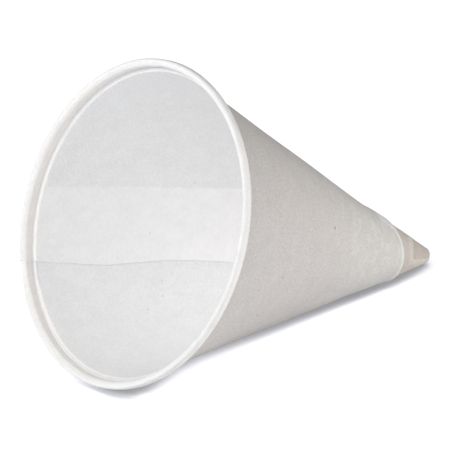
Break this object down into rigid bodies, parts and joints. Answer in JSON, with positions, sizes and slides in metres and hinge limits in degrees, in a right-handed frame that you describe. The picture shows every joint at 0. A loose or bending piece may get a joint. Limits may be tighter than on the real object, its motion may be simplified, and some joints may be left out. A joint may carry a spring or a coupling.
{
  "type": "rolled-rim cone paper cup",
  "caption": "Plain white cone cup wound from one sheet of paper, with a lapped seam, a rolled rim and a wound tip under a lifted hem.",
  "frame": {"origin": "centre of the rim's resting plane, with the cup standing mouth down", "axes": "+Z along the cup's axis from the mouth to the tip, +Y towards the middle of the seam's double strip at the mouth, -Y towards the plain side under the hem's low edge"},
  "size_m": [0.073, 0.073, 0.0922],
  "materials": {
    "paper": "matt uncoated white paper with a faint grain"
  },
  "bodies": {
    "root": {"cone_cup": "paper"}
  },
  "joints": []
}
